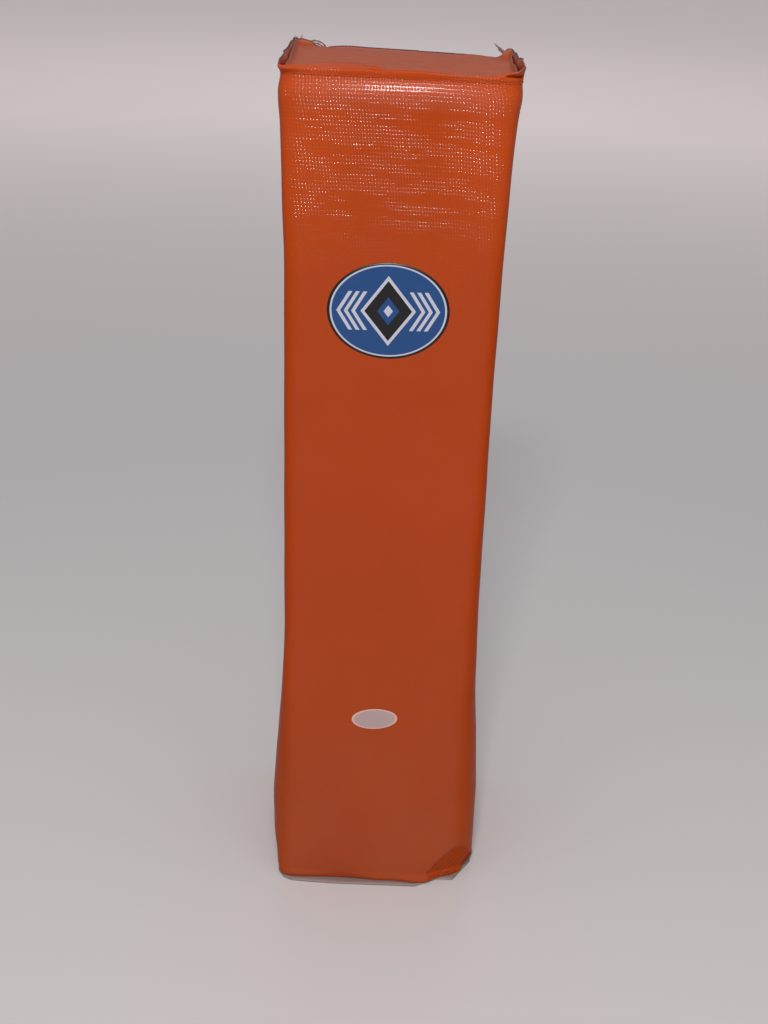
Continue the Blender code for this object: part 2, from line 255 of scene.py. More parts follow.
# Half widths to the four sides at heights in metres, and how square the corners are there.
LEFT_HALF = [
    (0.0, 0.0537), (0.005, 0.0545), (0.009, 0.0551), (0.014, 0.0558), (0.020, 0.0571), (0.033, 0.0583),
    (0.047, 0.0590), (0.061, 0.0583), (0.075, 0.0575), (0.088, 0.0565), (0.1015, 0.0556),
    (0.115, 0.0545), (0.147, 0.0529), (0.178, 0.0530), (0.208, 0.0532), (0.237, 0.0536), (0.265, 0.0538),
    (0.292, 0.0539), (0.319, 0.0543), (0.345, 0.0546), (0.370, 0.0548), (0.394, 0.0558), (0.413, 0.0566),
    (0.4225, 0.0570), (0.432, 0.05745), (0.4375, 0.0579), (0.444, 0.0579), (0.452, 0.0579),
    (0.460, 0.0579),
]
RIGHT_HALF = [
    (0.0, 0.0600), (0.008, 0.0603), (0.025, 0.0606), (0.040, 0.0604), (0.054, 0.0603), (0.0675, 0.0595),
    (0.081, 0.0589), (0.094, 0.0580), (0.1075, 0.0568), (0.120, 0.05595), (0.152, 0.0546),
    (0.183, 0.0539), (0.213, 0.0538), (0.242, 0.0535), (0.270, 0.0532), (0.297, 0.0533),
    (0.3236, 0.0536), (0.349, 0.0538), (0.374, 0.0542), (0.399, 0.0550), (0.4176, 0.0555),
    (0.427, 0.0559), (0.436, 0.0564), (0.441, 0.0567), (0.4454, 0.0572), (0.448, 0.0575),
    (0.4508, 0.0577), (0.4535, 0.0578), (0.460, 0.0577),
]
UPPER_HALF = [
    (0.190, 0.0531), (0.240, 0.0530), (0.293, 0.0534), (0.345, 0.0541), (0.395, 0.0553), (0.420, 0.0560),
    (0.446, 0.0572), (0.460, 0.0571),
]
FRONT_HALF = [
    (0.0, 0.0584), (0.008, 0.0590), (0.030, 0.0593), (0.060, 0.0585), (0.090, 0.0568), (0.120, 0.0550),
    (0.150, 0.0538),
] + UPPER_HALF
BACK_HALF = [
    (0.0, 0.0560), (0.008, 0.0572), (0.030, 0.0584), (0.060, 0.0580), (0.090, 0.0566), (0.120, 0.0549),
    (0.150, 0.0537),
] + UPPER_HALF
FRONT_LEFT_SQUARE = [
    (0.0, 22.0), (0.006, 19.0), (0.015, 12.0), (0.030, 8.0), (0.060, 7.5), (0.085, 8.5), (0.110, 11.0),
    (0.134, 17.0), (0.180, 18.0), (0.240, 20.0), (0.293, 20.0), (0.345, 18.0), (0.393, 20.0),
    (0.441, 15.0), (0.460, 15.0),
]
FRONT_RIGHT_SQUARE = [
    (0.0, 7.0), (0.042, 7.5), (0.060, 7.0), (0.085, 7.4), (0.110, 9.0), (0.134, 11.5), (0.180, 13.0),
    (0.238, 18.0), (0.293, 20.0), (0.345, 18.0), (0.393, 17.0), (0.441, 13.5), (0.460, 14.0),
]

# Faces of the crushed corner: X, Y, Z and reach over the crease, and angle, reach, height and slope below.
CRUSH_OVER = ((0.44, -0.898, -0.332, 0.0646), (0.906, -0.423, -0.42, 0.0662))
CRUSH_FRONT = (-60.0, 0.0674, 0.0055, 0.20)
CRUSH_SIDE = (-25.0, 0.0672, 0.0045, 0.30)
FACING = 0.2


def through(stations, at):
    """Smooth curve through given stations: between two a cubic, with slopes from their neighbours."""
    x, y = np.array(stations, float).T
    slope = np.gradient(y, x)
    i = np.clip(np.searchsorted(x, at) - 1, 0, len(x) - 2)
    step = x[i + 1] - x[i]
    t = np.clip((at - x[i]) / step, 0.0, 1.0)
    rise = y[i + 1] - y[i]
    return (y[i] + rise * t * t * (3.0 - 2.0 * t)
            + step * t * (1.0 - t) * (slope[i] * (1.0 - t) - slope[i + 1] * t))


def hill(at, middle, width):
    """Bell curve of height 1."""
    return np.exp(-((at - middle) / width) ** 2)


def direction(angle):
    """X and Y, one unit out from the axis, of an angle in degrees."""
    turn = np.radians(angle)
    return np.cos(turn), np.sin(turn)


def rise_between(at, low, high):
    """Smooth cubic rise from 0 at low to 1 at high."""
    t = np.clip((at - low) / (high - low), 0.0, 1.0)
    return t * t * (3.0 - 2.0 * t)


def softly_least(first, second, round_over):
    """The lesser of two values, rounded over where they cross."""
    mix = np.clip(0.5 + 0.5 * (second - first) / round_over, 0.0, 1.0)
    return second + (first - second) * mix - round_over * mix * (1.0 - mix)


def whole_radius(angle, z):
    """Distance of the cover's outer face from the axis, before the corner was crushed.

    Each quarter of the outline is a superellipse, |x/a|^n + |y/b|^n = 1: a and b are the half widths of the
    two sides it joins and n is how square its corner is. Two sets of low waves lie on its sides.
    """
    c, s = direction(angle)
    half_x = np.where(c > 0.0, through(RIGHT_HALF, z), through(LEFT_HALF, z))
    half_y = np.where(s > 0.0, through(BACK_HALF, z), through(FRONT_HALF, z))
    square = np.where(c > 0.0, through(FRONT_RIGHT_SQUARE, z), through(FRONT_LEFT_SQUARE, z))
    radius = ((np.abs(c) / half_x) ** square + (np.abs(s) / half_y) ** square) ** (-1.0 / square)
    turn = np.radians(angle)
    long_waves = np.sin(5.0 * turn + 31.0 * z) * np.sin(38.0 * z + 1.3)
    radius += 0.00022 * long_waves * rise_between(z, 0.01, 0.06)
    return radius + 0.00016 * np.sin(11.0 * turn - 57.0 * z + 0.6) * np.sin(71.0 * z)


def pylon_radius(angle, z):
    """The same with its crushed corner.

    Two flat faces that hang over cut it back, and below the crease two faces spread out again towards the
    floor. The pushed-in cloth is crumpled in small folds.
    """
    c, s = direction(angle)
    radius = whole_radius(angle, z)
    cut = 1.0
    for over_x, over_y, over_z, over_reach in CRUSH_OVER:
        across = over_x * c + over_y * s
        face = np.where(across > FACING, (over_reach - over_z * z) / np.maximum(across, FACING), 1.0)
        cut = softly_least(cut, face, 0.0005)
    under = 1.0
    for facing, reach, level, slope in (CRUSH_FRONT, CRUSH_SIDE):
        across = np.cos(np.radians(angle - facing))
        out = reach - slope * np.maximum(z - level, 0.0) - 0.12 * np.maximum(level - z, 0.0)
        face = np.where(across > FACING, out / np.maximum(across, FACING), 1.0)
        under = softly_least(under, face, 0.0006)
    cut = -softly_least(-cut, -under, 0.0005)
    crumple = np.abs(np.sin(np.pi * (angle / 6.4 + z / 0.0110)))
    crumple = crumple + 0.6 * np.abs(np.sin(np.pi * (angle / 3.9 - z / 0.0076)))
    pushed = rise_between(radius - cut, 0.0, 0.0015)
    return softly_least(radius, cut - 0.00035 * pushed * crumple, 0.0004)


def corner_spaced(first, last, count):
    """Angles from first to last, closer together near the four corners and closest at the crushed one."""
    fine = np.linspace(first, last, 9001)
    from_corner = np.abs(fine % 90.0 - 45.0)
    closeness = 1.0 + 3.2 * np.exp(-(from_corner / 5.0) ** 2) + 3.6 * hill(fine, 314.0, 15.0)
    run = np.cumsum(closeness)
    return np.interp(np.linspace(0.0, 1.0, count), (run - run[0]) / (run[-1] - run[0]), fine)


def crown(x, y):
    """Height of the top panel's upper face: it rises towards the back, with a shallow dip at the left."""
    level = 0.4548 + 0.0017 * rise_between(y, -0.050, 0.030)
    level -= 0.0011 * hill(x, -0.042, 0.016) * hill(y, 0.004, 0.026)
    level -= 0.0018 * rise_between(x, 0.034, 0.052) * rise_between(y, 0.010, 0.045)
    return level + 0.0004 * hill(x, 0.012, 0.03) * hill(y, -0.01, 0.03)


def leaned(x, z):
    """Height z at x once the top leans a little down to the right."""
    return z - 0.009 * x * z / SEAM_Z


def standing(angle, radius, z):
    """Points at these angles, distances from the axis and heights, leaned."""
    c, s = direction(angle)
    return np.stack([radius * c, radius * s, leaned(radius * c, z)], axis=-1)


foam_angles = corner_spaced(0.0, 360.0, 121)[:-1][None, :]


def square_ring(half, angle, square=16.0):
    """Distance from the axis of a rounded square, a superellipse with this half width."""
    c, s = np.abs(direction(angle))
    return half * (c ** square + s ** square) ** (-1.0 / square)


def foam_radius(level):
    """Distance of the foam's side from the axis: the cover's outer face less the cloth and a small gap."""
    return pylon_radius(foam_angles, level) - FOAM_INSET


pocket = square_ring(POCKET_HALF, foam_angles)
foam_rings = [(pocket * share, POCKET_TOP) for share in (0.0, 0.4, 0.8, 1.0)]
foam_rings += [(pocket, level) for level in (0.060, 0.035, 0.0035)]
foam_rings.append((pocket + 0.0012, FOAM_FOOT))
for turn in (90.0, 60.0, 30.0, 0.0):
    level = FOAM_FOOT + FOAM_ROUND * (1.0 - math.sin(math.radians(turn)))
    draw = FOAM_ROUND * (1.0 - math.cos(math.radians(turn)))
    foam_rings.append((foam_radius(level) - draw, level))
foam_rings += [(foam_radius(level), level) for level in np.linspace(0.010, 0.447, 60)]
for level, draw in ((0.4490, 0.0008), (0.4503, 0.0020), (FOAM_SHOULDER, 0.0040)):
    foam_rings.append((foam_radius(level) - draw, level))
for share in (0.92, 0.86, 0.8, 0.6, 0.4, 0.2, 0.0):
    ring = foam_radius(FOAM_SHOULDER) * share
    c, s = direction(foam_angles)
    under = crown(ring * c, ring * s) - FOAM_INSET
    level = FOAM_SHOULDER + (under - FOAM_SHOULDER) * rise_between(1.0 - share, 0.05, 0.16)
    foam_rings.append((ring, level))
foam_points = np.concatenate([standing(foam_angles, ring, level) for ring, level in foam_rings])

open_foam, tree, shader = new_surface("open_cell_foam")
cells = node(tree, "ShaderNodeTexVoronoi", {"Vector": object_place(tree), "Scale": 700.0})
shade = mottled(tree, 30.0, (0.25, 0.26, 0.29), (0.35, 0.36, 0.38))
dress(tree, shader, shade, 0.95, bump(tree, cells.outputs["Distance"], 0.9, 0.0006))

foam_block = mesh_of_grid("foam_block", foam_points, [open_foam], around=True)
merged(foam_block, 1e-5)
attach(foam_block, "root")
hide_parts("foam_core")


# Ballast.
# A black woven pouch filled with dry sand, closed by a panel sewn over its mouth, pushed up into the foam.
# It keeps the pylon upright and swells its foot.

POUCH_HALF = 0.0420
POUCH_LOW = 0.0013
POUCH_HIGH = 0.0833
POUCH_WALL = 0.0009

pouch_angles = corner_spaced(0.0, 360.0, 97)[:-1][None, :]


def sack(half, low, high, sag, edge):
    """Rings of a filled sack: a rounded square whose sides bow out in the middle and whose ends close in."""
    up = np.linspace(0.0, 1.0, 26)[:, None]
    bow = sag * np.sin(np.pi * up) ** 2
    side = square_ring(half, pouch_angles, 9.0) - sag + bow
    side = side + 0.0003 * np.sin(14.0 * np.radians(pouch_angles) + 9.0 * up)
    walls = standing(pouch_angles, side, low + edge + (high - low - 2.0 * edge) * up)
    ends = []
    for end, sign in ((low, 1.0), (high, -1.0)):
        for share, lift in ((0.985, 0.35), (0.94, 0.0), (0.6, 0.0), (0.25, 0.0), (0.0, 0.0)):
            ring = (square_ring(half, pouch_angles, 9.0) - sag) * share
            ends.append(standing(pouch_angles, ring, end + sign * edge * lift))
    bottom = np.concatenate(ends[:5][::-1])
    top = np.concatenate(ends[5:])
    return np.concatenate([bottom, walls, top])


pouch_cloth, tree, shader = new_surface("pouch_cloth")
fibres = {"Vector": object_place(tree), "Scale": 420.0, "Distortion": 1.5}
weft = node(tree, "ShaderNodeTexWave", fibres, bands_direction="Z").outputs["Fac"]
warp = node(tree, "ShaderNodeTexWave", fibres, bands_direction="DIAGONAL").outputs["Fac"]
threads = maths(tree, "MAXIMUM", weft, warp)
shade = blend_colour(tree, threads, (0.030, 0.030, 0.034), (0.062, 0.062, 0.068))
dress(tree, shader, shade, 0.85, bump(tree, threads, 0.7, 0.0003))

dry_sand, tree, shader = new_surface("dry_sand")
grains = node(tree, "ShaderNodeTexVoronoi", {"Vector": object_place(tree), "Scale": 1500.0})
shade = blend_colour(tree, grains.outputs["Color"], (0.40, 0.30, 0.18), (0.66, 0.55, 0.38))
dress(tree, shader, shade, 0.95, bump(tree, grains.outputs["Distance"], 0.8, 0.0004))

pouch_points = sack(POUCH_HALF, POUCH_LOW, POUCH_HIGH, 0.0012, 0.0020)
sand_points = sack(POUCH_HALF - POUCH_WALL, POUCH_LOW + POUCH_WALL, POUCH_HIGH - POUCH_WALL, 0.0012, 0.0020)
lid_points = sack(POUCH_HALF, POUCH_HIGH + 0.0003, POUCH_HIGH + 0.0010, 0.0008, 0.0002)

pouch = mesh_of_grid("ballast_bag", pouch_points, [pouch_cloth], around=True)
sand = mesh_of_grid("sand_fill", sand_points, [dry_sand], around=True)
pouch_lid = mesh_of_grid("ballast_bag_lid", lid_points, [pouch_cloth], around=True)
for piece, stands_for, finish, tight in ((pouch, "ballast_pouch", "pouch_cloth", 0.9),
                                         (sand, "ballast_sand", "sand", 0.9),
                                         (pouch_lid, "ballast_pouch_top", "pouch_cloth", 0.5)):
    merged(piece, 1e-5)
    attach(piece, "root")
    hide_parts(stands_for)


# Cover wall.
# One sheet of orange vinyl-coated cloth, wrapped round all four sides and lapped up the middle of the back.
# Its weave shows through the coating. Its top edge stands past the seam, folded in at the front only.

LAP_MIDDLE = 450.0
LAP_HALF = 7.4
LAP_STEP = 0.0010
MARGIN_ROWS = 24
UV_ROW = 60
WEAVE_ROW = 0.00178
WEAVE_COLUMN = 0.00148
LEAST_COAT = 0.17
FOOT_TUCK = 0.0007

# Millimetres at angles in degrees: the margin's rise, its lean and its fold, and the foot's spread.
RIM_RISE = [
    (80, 4.2), (91, 4.3), (107, 4.5), (121.8, 4.6), (125.1, 4.0), (126.9, 3.3), (128.7, 4.2),
    (130.4, 5.1), (131, 6.1), (131.9, 6.8), (132.8, 7.0), (133.6, 7.4), (135, 7.3), (137, 7.6),
    (139.5, 8.4), (142, 8.0), (146, 8.3), (166, 8.4), (170, 7.7), (180, 7.6), (203, 7.3), (213, 6.4),
    (218, 5.3), (222, 4.6), (225, 4.3), (228, 4.5), (236.6, 4.8), (247.5, 5.0), (253, 5.2), (258, 6.2),
    (262, 5.3), (270, 5.2), (284, 5.0), (304, 4.3), (308, 4.5), (310, 5.2), (311.8, 6.3), (313.4, 7.2),
    (314.2, 7.8), (317, 8.8), (319.5, 8.3), (323, 9.1), (327.5, 9.7), (334, 10.0), (346, 9.4),
    (363.6, 7.4), (374.6, 7.9), (382.7, 8.4), (392.7, 7.4), (401, 6.8), (404.8, 7.5), (406.2, 7.4),
    (406.7, 6.6), (407.2, 5.3), (407.6, 4.2), (408.3, 3.4), (409.5, 2.8), (411.4, 2.9), (414.6, 3.4),
    (425.8, 3.85), (444, 3.95), (460, 4.2),
]
RIM_LEAN = [
    (80, 1.4), (118, 1.4), (127, 1.4), (132, 2.4), (136, 2.9), (139, 2.7), (144, 2.1), (151, 2.4),
    (180, 2.2), (192, 2.5), (200, 3.4), (207, 2.7), (213, 1.3), (219, 1.0), (225, 1.9), (228, 1.8),
    (233, 0.5), (245, 0.2), (295, 0.2), (306, 0.4), (311, 1.3), (315, 2.9), (318, 2.0), (323, 0.7),
    (328, 0.9), (334, 1.9), (360, 1.8), (387, 1.9), (398, 1.1), (402, 2.3), (405, 3.3), (407, 2.8),
    (409.5, 1.2), (414, 1.0), (440, 1.4), (460, 1.4),
]
FOLD_IN = [
    (80, 0.0), (220, 0.0), (226, 3.0), (233, 8.5), (240, 10.0), (249, 9.5), (254, 6.0), (260, 3.8),
    (298, 4.2), (306, 3.0), (311, 1.4), (315, 0.0), (460, 0.0),
]
FOLD_LIFT = [
    (80, 0.0), (222, 0.0), (229, 0.9), (236, 1.6), (247, 1.5), (252, 0.9), (257, 0.2), (262, -0.2),
    (300, -0.3), (308, 0.2), (315, 0.0), (460, 0.0),
]
FOOT_OUT = [
    (80, 0.0), (226, 0.0), (234, 0.9), (243, 0.6), (252, 0.0), (266, 0.4), (273, 0.9), (281, 0.7),
    (289, 1.1), (293.5, 1.7), (297, 1.3), (302, 0.9), (306, 0.6), (310.5, 1.1), (315, 1.6), (321, 0.9),
    (328, 1.3), (334, 1.2), (343, 0.3), (352, 0.0), (460, 0.0),
]


def wall_radius(angle, z):
    """The pylon's outline with what the sewing does to the cloth.

    It bulges, then is drawn in towards the top seam: at the front in a short steep step that climbs to the
    right, and along both sides just under their margins, which flare out again. A groove runs under the
    lip's right end, a small fold stands out at the seam's front left corner, the foot's lower edge waves,
    small creases stand up in the crushed corner, and at the back the last of the cloth lies on the first.
    """
    radius = pylon_radius(angle, z)
    front = hill(angle, 270.0, 42.0)
    right = hill(angle, 360.0, 38.0)
    step_z = 0.4482 + 0.0014 * np.cos(np.radians(angle))
    radius += 0.0006 * hill(z, 0.4440, 0.0060) * (1.0 - 0.3 * front)
    radius -= 0.0006 * (1.0 - front) * (1.0 - right) * rise_between(z, 0.4450, 0.4532)
    radius -= front * 0.0017 * rise_between(z, step_z - 0.0029, step_z + 0.0050)
    radius += 0.0004 * (1.0 - right) * rise_between(z, 0.4534, 0.4550)
    left_side = rise_between(angle, 138.0, 150.0) * (1.0 - rise_between(angle, 209.0, 216.0))
    right_side = rise_between(angle, 324.0, 334.0) * (1.0 - rise_between(angle, 388.0, 399.0))
    pinch = 0.0016 * (left_side + right_side) + 0.0018 * hill(angle, 203.0, 6.0)
    radius -= pinch * rise_between(z, 0.4500, 0.4532)
    groove = rise_between(angle, 309.0, 312.5) * (1.0 - rise_between(angle, 316.5, 319.0))
    radius -= 0.0022 * groove * hill(z, 0.4566, 0.0007)
    radius += 0.0005 * hill(angle, 223.0, 5.0) * hill(z, 0.4553, 0.0013)
    radius += 0.0008 * hill(angle, 294.0, 20.0) * (1.0 - rise_between(z, 0.0, 0.030))
    radius += 0.001 * through(FOOT_OUT, angle) * (1.0 - rise_between(z, 0.0025, 0.0075))
    crease = 0.8 * hill(angle, 305.5, 0.9) + hill(angle, 309.7, 0.9) + hill(angle, 311.9, 0.9)
    radius += 0.0010 * crease * hill(z, 0.0050, 0.0007)
    return radius + LAP_STEP * rise_between(angle, 440.0, 446.0)


wall_angles = corner_spaced(LAP_MIDDLE - 360.0 - LAP_HALF, LAP_MIDDLE + LAP_HALF, 292)[None, :]
wall_rows = []
for turn in (90.0, 62.0, 40.0, 20.0):
    level = FOOT_Z + FOOT_TUCK * (1.0 - math.sin(math.radians(turn)))
    draw = FOOT_TUCK * (1.0 - math.cos(math.radians(turn)))
    wall_rows.append(standing(wall_angles, wall_radius(wall_angles, level) - draw, level))

# Rows lie closer together at the crushed foot and where the cloth is drawn in under the seam.
wall_heights = np.concatenate([
    np.arange(0.0024, 0.0078, 0.00040), np.arange(0.0080, 0.0330, 0.00086), np.arange(0.034, 0.120, 0.0042),
    np.arange(0.120, 0.428, 0.0096), np.arange(0.428, 0.4446, 0.0018), np.arange(0.4450, 0.4519, 0.00062),
    [SEAM_Z]])
for level in wall_heights:
    wall_rows.append(standing(wall_angles, wall_radius(wall_angles, level), level))


def edge_wear(angle, amount):
    """Ragged cut edge: a few waves that don't repeat, stronger at the sides."""
    sides = np.clip(hill(angle, 360.0, 50.0) + 0.6 * hill(angle, 180.0, 45.0), 0.0, 1.0)
    waves = np.sin(angle * 1.9) * 0.5 + np.sin(angle * 4.7 + 1.0) * 0.3 + np.sin(angle * 11.3 + 2.0) * 0.25
    return amount * sides * waves


def margin_rows(angles, base_radius, rise, lean, fold, lift, rows):
    """Cloth standing past a seam.

    It goes up by rise while leaning out, then, where fold is over 0, bends over in a quarter circle and lies
    inwards by fold.
    """
    turned_in = np.clip(fold / 0.002, 0.0, 1.0)
    bend = 0.0009 * turned_in
    upright = 1.0 - 0.58 * turned_in
    bent = 1.0 - 0.30 * turned_in
    made = []
    for share in np.linspace(0.0, 1.0, rows + 1)[1:]:
        up = np.clip(share / upright, 0.0, 1.0)
        arc = np.radians(90.0) * np.clip((share - upright) / np.maximum(bent - upright, 1e-6), 0.0, 1.0)
        inward = np.clip((share - bent) / np.maximum(1.0 - bent, 1e-6), 0.0, 1.0)
        out = lean * up * up - bend * (1.0 - np.cos(arc)) - np.maximum(fold - bend, 0.0) * inward
        height = SEAM_Z + (rise - bend) * up + bend * np.sin(arc) + lift * inward
        made.append(standing(angles, base_radius(angles, height) + out, height))
    return made


rim_rise = 0.001 * through(RIM_RISE, wall_angles) + edge_wear(wall_angles, 0.0005)
rim_lean = 0.001 * through(RIM_LEAN, wall_angles)
rim_fold = 0.001 * through(FOLD_IN, wall_angles)
rim_lift = 0.001 * through(FOLD_LIFT, wall_angles)
wall_rows += margin_rows(wall_angles, wall_radius, rim_rise, rim_lean, rim_fold, rim_lift, MARGIN_ROWS)
wall_points = np.concatenate(wall_rows, axis=0)


def cloth_uv(points, level):
    """Unrolled place of each point in metres: run round the sheet at one level, and run up each column."""
    across = run_along(points[level])
    up = np.concatenate([np.zeros((1, points.shape[1])),
                         np.cumsum(np.linalg.norm(np.diff(points, axis=0), axis=2), axis=0)])
    return np.stack([np.broadcast_to(across[None, :], up.shape), up], axis=-1)


def mark(piece, name, values):
    """Stores one number a point for the material, such as its distance from the cloth's cut edge."""
    layer = piece.data.attributes.new(name, "FLOAT", "POINT")
    layer.data.foreach_set("value", values.astype(np.float32).ravel())


def coated_cloth(name, dark, light, weave_height, smooth, rough, gloss, clear, top_light_share, rim_sheen_share):
    """Vinyl-coated cloth.

    Its weft and warp stand up under the coating as small pillows, in rows and in columns that lean a little.
    They are higher in some bands, and pressed flat over the lower part, where the coating has been rubbed
    smooth. The clear coat is thickest on the pillows' crowns and in a band under the top seam, thins towards
    the corners and follows the pillows fully, and the colour under it follows them a sixth as much. That
    colour carries painted light: it is lighter towards the top and more so at the sides, duller and browner
    in patches low down for painted shade and painted floor reflection, matched in the crushed corner to how
    its facets take light, and grey-mauve near the rim for a painted sheen.

    Smooth and rough are the ends of the roughness, gloss is the specular level under the coat, clear is the
    coat's greatest weight, and the last two are the greatest shares of the painted top light and rim sheen.
    """
    made, tree, shader = new_surface(name)
    where = object_place(tree)
    aside, _, level = split(tree, where)
    aside = maths(tree, "ABSOLUTE", aside)

    across, up, _ = split(tree, sheet_place(tree))
    rows = maths(tree, "COSINE", product(tree, up, 2.0 * math.pi / WEAVE_ROW))
    leaning = maths(tree, "MULTIPLY_ADD", up, 0.11, across)
    columns = maths(tree, "COSINE", product(tree, leaning, 2.0 * math.pi / WEAVE_COLUMN))
    raised = maths(tree, "MULTIPLY_ADD", columns, 0.5, 0.5)
    pillows = product(tree, maths(tree, "MULTIPLY_ADD", rows, 0.5, 0.5), raised)
    stretched = node(tree, "ShaderNodeMapping", {"Vector": where, "Scale": (1.0, 1.0, 5.0)}).outputs[0]
    bands = spread(tree, noise(tree, 34.0, 2.0, stretched), 0.38, 0.60, 0.60, 0.98)
    kept = spread(tree, level, 0.33, 0.405, 0.20, 1.0)
    height = product(tree, maths(tree, "MULTIPLY_ADD", raised, 0.08, pillows), bands, kept)
    weave = bump(tree, height, 1.0, weave_height)
    relief = bump(tree, noise(tree, 95.0), 0.4, 0.0006, over=weave)

    shade = blend_colour(tree, spread(tree, noise(tree, 14.0, 4.0), 0.35, 0.65), dark, light)
    # Painted light: the colour turns lighter towards the top, and more so at the sides, where the top takes
    # the lamp's light and highlights.
    sides = spread(tree, aside, 0.018, 0.040, top_light_share, 2.4 * top_light_share)
    painted_top_light = product(tree, spread(tree, level, 0.355, 0.425), sides)
    shade = blend_colour(tree, painted_top_light, shade, (0.50, 0.072, 0.018))
    # Painted shade and painted floor reflection: in patches towards the foot the colour turns less red, with
    # more green and blue.
    low_down = spread(tree, level, 0.0, 0.17, 0.36, 0.0)
    painted_foot_shade = product(tree, low_down, spread(tree, noise(tree, 24.0, 2.0), 0.35, 0.70, 0.45, 1.0))
    shade = blend_colour(tree, painted_foot_shade, shade, (0.30, 0.082, 0.032))
    # Painted light and shade: in the crushed corner the colour turns a lighter, purer red in patches,
    # matched to how its facets take light.
    crushed = node(tree, "ShaderNodeAttribute", attribute_name="crushed").outputs["Fac"]
    painted_crush_light = product(tree, crushed, spread(tree, noise(tree, 150.0), 0.40, 0.60, 0.40, 1.0))
    shade = blend_colour(tree, painted_crush_light, shade, (0.375, 0.043, 0.002))
    rim = node(tree, "ShaderNodeAttribute", attribute_name="from_rim").outputs["Fac"]
    # Painted sheen: the colour turns grey-mauve within a few millimetres of the cut edge.
    shade = blend_colour(tree, spread(tree, rim, 0.0012, 0.0036, rim_sheen_share, 0.0), shade, (0.31, 0.12, 0.09))
    ragged = maths(tree, "MULTIPLY_ADD", noise(tree, 900.0, 2.0), 0.0006, 0.0003)
    worn = product(tree, maths(tree, "LESS_THAN", rim, ragged), 0.92)
    shade = blend_colour(tree, worn, shade, (0.055, 0.026, 0.023))
    polish = spread(tree, noise(tree, 130.0), 0.3, 0.7, smooth, rough)
    polish = maths(tree, "MULTIPLY_ADD", crushed, 0.38, polish)
    dress(tree, shader, shade, polish, bump(tree, height, 1.0, weave_height / 6.0))

    near_top = spread(tree, level, 0.4375, 0.4440, 0.0, 0.40)
    near_top = product(tree, near_top, spread(tree, level, 0.4520, 0.4535, 1.0, 0.0))
    near_top = product(tree, near_top, spread(tree, aside, 0.026, 0.044, 1.0, 0.45))
    crowns = product(tree, spread(tree, pillows, 0.25, 0.60), spread(tree, bands, 0.74, 0.84, 0.25, 1.0))
    crowns = maths(tree, "SUBTRACT", maths(tree, "MAXIMUM", crowns, near_top), LEAST_COAT)
    coating = maths(tree, "MULTIPLY_ADD", spread(tree, level, 0.360, 0.424), crowns, LEAST_COAT)
    coating = product(tree, coating, spread(tree, aside, 0.0465, 0.0505, 1.0, 0.2))
    coating = product(tree, coating, maths(tree, "MULTIPLY_ADD", crushed, -0.6 * clear, clear))
    tree.links.new(coating, shader.inputs["Coat Weight"])
    tree.links.new(relief, shader.inputs["Coat Normal"])
    shader.inputs["Coat IOR"].default_value = 2.0
    shader.inputs["Coat Roughness"].default_value = 0.15
    shader.inputs["Specular IOR Level"].default_value = gloss
    return made


# The wall's cloth, with painted light towards the top and a painted sheen near the rim.
orange_vinyl = coated_cloth(
    "orange_vinyl_cloth", dark=(0.335, 0.0375, 0.0006), light=(0.358, 0.0415, 0.0012), weave_height=0.00036,
    smooth=0.42, rough=0.52, gloss=0.06, clear=1.0, top_light_share=0.15, rim_sheen_share=0.55)

cut_edge, tree, shader = new_surface("cut_cloth_edge")
shade = mottled(tree, 900.0, (0.030, 0.014, 0.012), (0.12, 0.055, 0.045))
# Painted light: the cut edge turns lighter and redder towards the front, where the lip's edge is lit.
painted_front_light = spread(tree, split(tree, object_place(tree))[1], -0.010, -0.035)
dress(tree, shader, blend_colour(tree, painted_front_light, shade, (0.30, 0.055, 0.028)), 0.8)

wall_uv = cloth_uv(wall_points, UV_ROW)
wall_up = wall_uv[..., 1]
cover_wall = mesh_of_grid("cover_wall_cloth", wall_points, [orange_vinyl, cut_edge], uv=wall_uv)
folded = np.clip(rim_fold / 0.001, 0.0, 1.0)
mark(cover_wall, "from_rim", wall_up[-1:] - wall_up + 0.002 * folded)
wall_level = np.clip(wall_points[..., 2], FOOT_Z, 0.1)
pushed_in = whole_radius(wall_angles, wall_level) - pylon_radius(wall_angles, wall_level)
mark(cover_wall, "crushed", np.clip(pushed_in / 0.0012, 0.0, 1.0))
sheet_wall(cover_wall, CLOTH, rim=1)
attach(cover_wall, "root")
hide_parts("cover_wall")


# Top panel.
# A square of the same cloth laid on the foam, its margin turned up all round and sewn to the wall's.
# At the sides the two margins gape; at the front the panel's lies under the wall's fold.

PANEL_FLAT_RINGS = 36
PANEL_MARGIN_RINGS = 20
PANEL_SPACING = 0.00154
PANEL_DRAWN_IN = 0.0009

